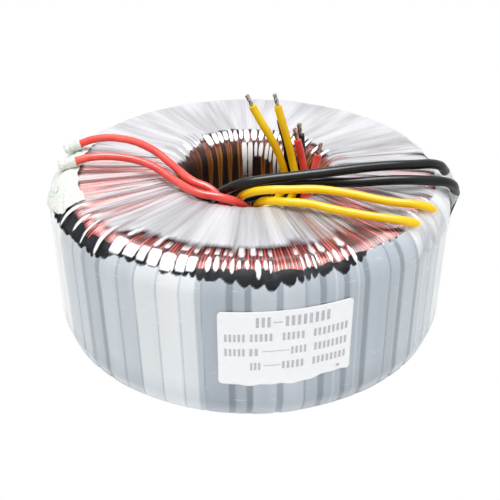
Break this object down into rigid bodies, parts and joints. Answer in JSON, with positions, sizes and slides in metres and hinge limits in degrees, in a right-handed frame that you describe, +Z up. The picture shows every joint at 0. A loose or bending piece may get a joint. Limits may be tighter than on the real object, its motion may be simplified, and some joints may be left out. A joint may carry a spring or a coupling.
{
  "type": "toroidal transformer",
  "caption": "Ring-shaped mains transformer wrapped in clear film, with six flexible insulated leads laid over the top and tucked into its centre hole.",
  "frame": {"origin": "on the ring's axis at the lowest face, where the part stands", "axes": "+Z up the ring's axis, -Y towards the labelled side"},
  "size_m": [0.1838, 0.1803, 0.1089],
  "materials": {
    "core_steel": "rolled silicon-steel strip",
    "cap_plastic": "moulded",
    "insulation_film": "lapped polyester film",
    "enamelled_copper": "enamelled copper wire",
    "band_steel": "dark thin strip",
    "clear_film": "clear lapped polyester film",
    "label_paper": "matt coated",
    "woven_tape": "woven glass tape",
    "sleeve_white": "braided sleeving",
    "lead_red": "extruded",
    "lead_black": "extruded",
    "lead_yellow": "extruded",
    "strands_copper": "bare stranded copper",
    "strands_tinned": "tinned stranded copper"
  },
  "bodies": {
    "root": {"core": "core_steel", "core_cap_bottom": "cap_plastic", "core_cap_top": "cap_plastic", "core_wrap": "insulation_film", "primary_winding": "enamelled_copper", "primary_wrap": "insulation_film", "mains_output_winding": "enamelled_copper", "output_wrap": "insulation_film", "low_volt_winding": "enamelled_copper", "side_band": "band_steel", "outer_film": "clear_film", "label": "label_paper", "lead_out_tape_rear": "woven_tape", "lead_out_tape_front": "woven_tape", "sleeve_red_a": "sleeve_white", "sleeve_red_b": "sleeve_white", "lead_red_a": "lead_red", "lead_red_b": "lead_red", "lead_black_a": "lead_black", "lead_black_b": "lead_black", "lead_yellow_a": "lead_yellow", "lead_yellow_b": "lead_yellow", "strands_red_a": "strands_copper", "strands_red_b": "strands_copper", "strands_black_a": "strands_tinned", "strands_black_b": "strands_tinned", "strands_yellow_a": "strands_tinned", "strands_yellow_b": "strands_tinned"}
  },
  "joints": []
}
